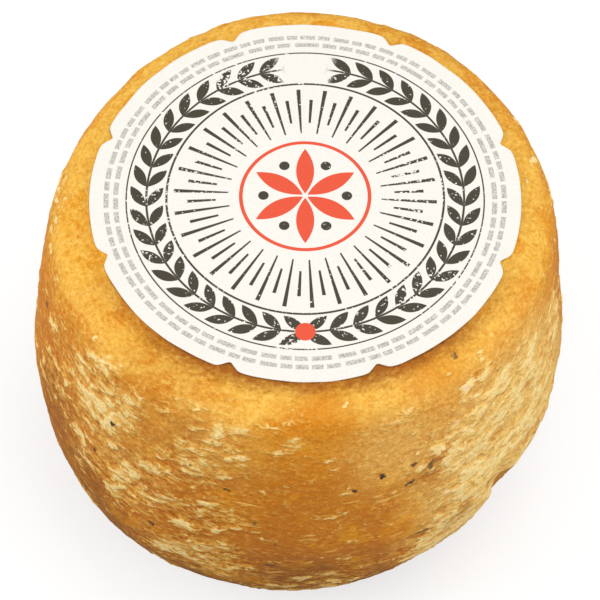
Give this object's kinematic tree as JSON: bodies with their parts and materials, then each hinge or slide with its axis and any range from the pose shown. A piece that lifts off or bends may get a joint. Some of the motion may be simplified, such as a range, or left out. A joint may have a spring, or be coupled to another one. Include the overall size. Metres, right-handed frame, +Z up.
{
  "type": "sheep milk cheese wheel",
  "caption": "Small drum-shaped wheel of hard, smoked sheep milk cheese: rounded shoulder, narrower foot, uneven golden rind, and a round paper label with a notched edge laid on its top.",
  "frame": {"origin": "Under the middle of the whole's width and depth, on the level that the wheel's flat foot rests on.", "axes": "+Z up through the wheel, from the foot to the labelled top. +X to the right and -Y to the front, seen from the picture's side. A round object has no other reference direction."},
  "size_m": [0.1094, 0.1108, 0.0777],
  "materials": {
    "rind": null,
    "label_paper": null
  },
  "bodies": {
    "root": {"cheese_wheel": "rind", "paper_label": "label_paper"}
  },
  "joints": []
}
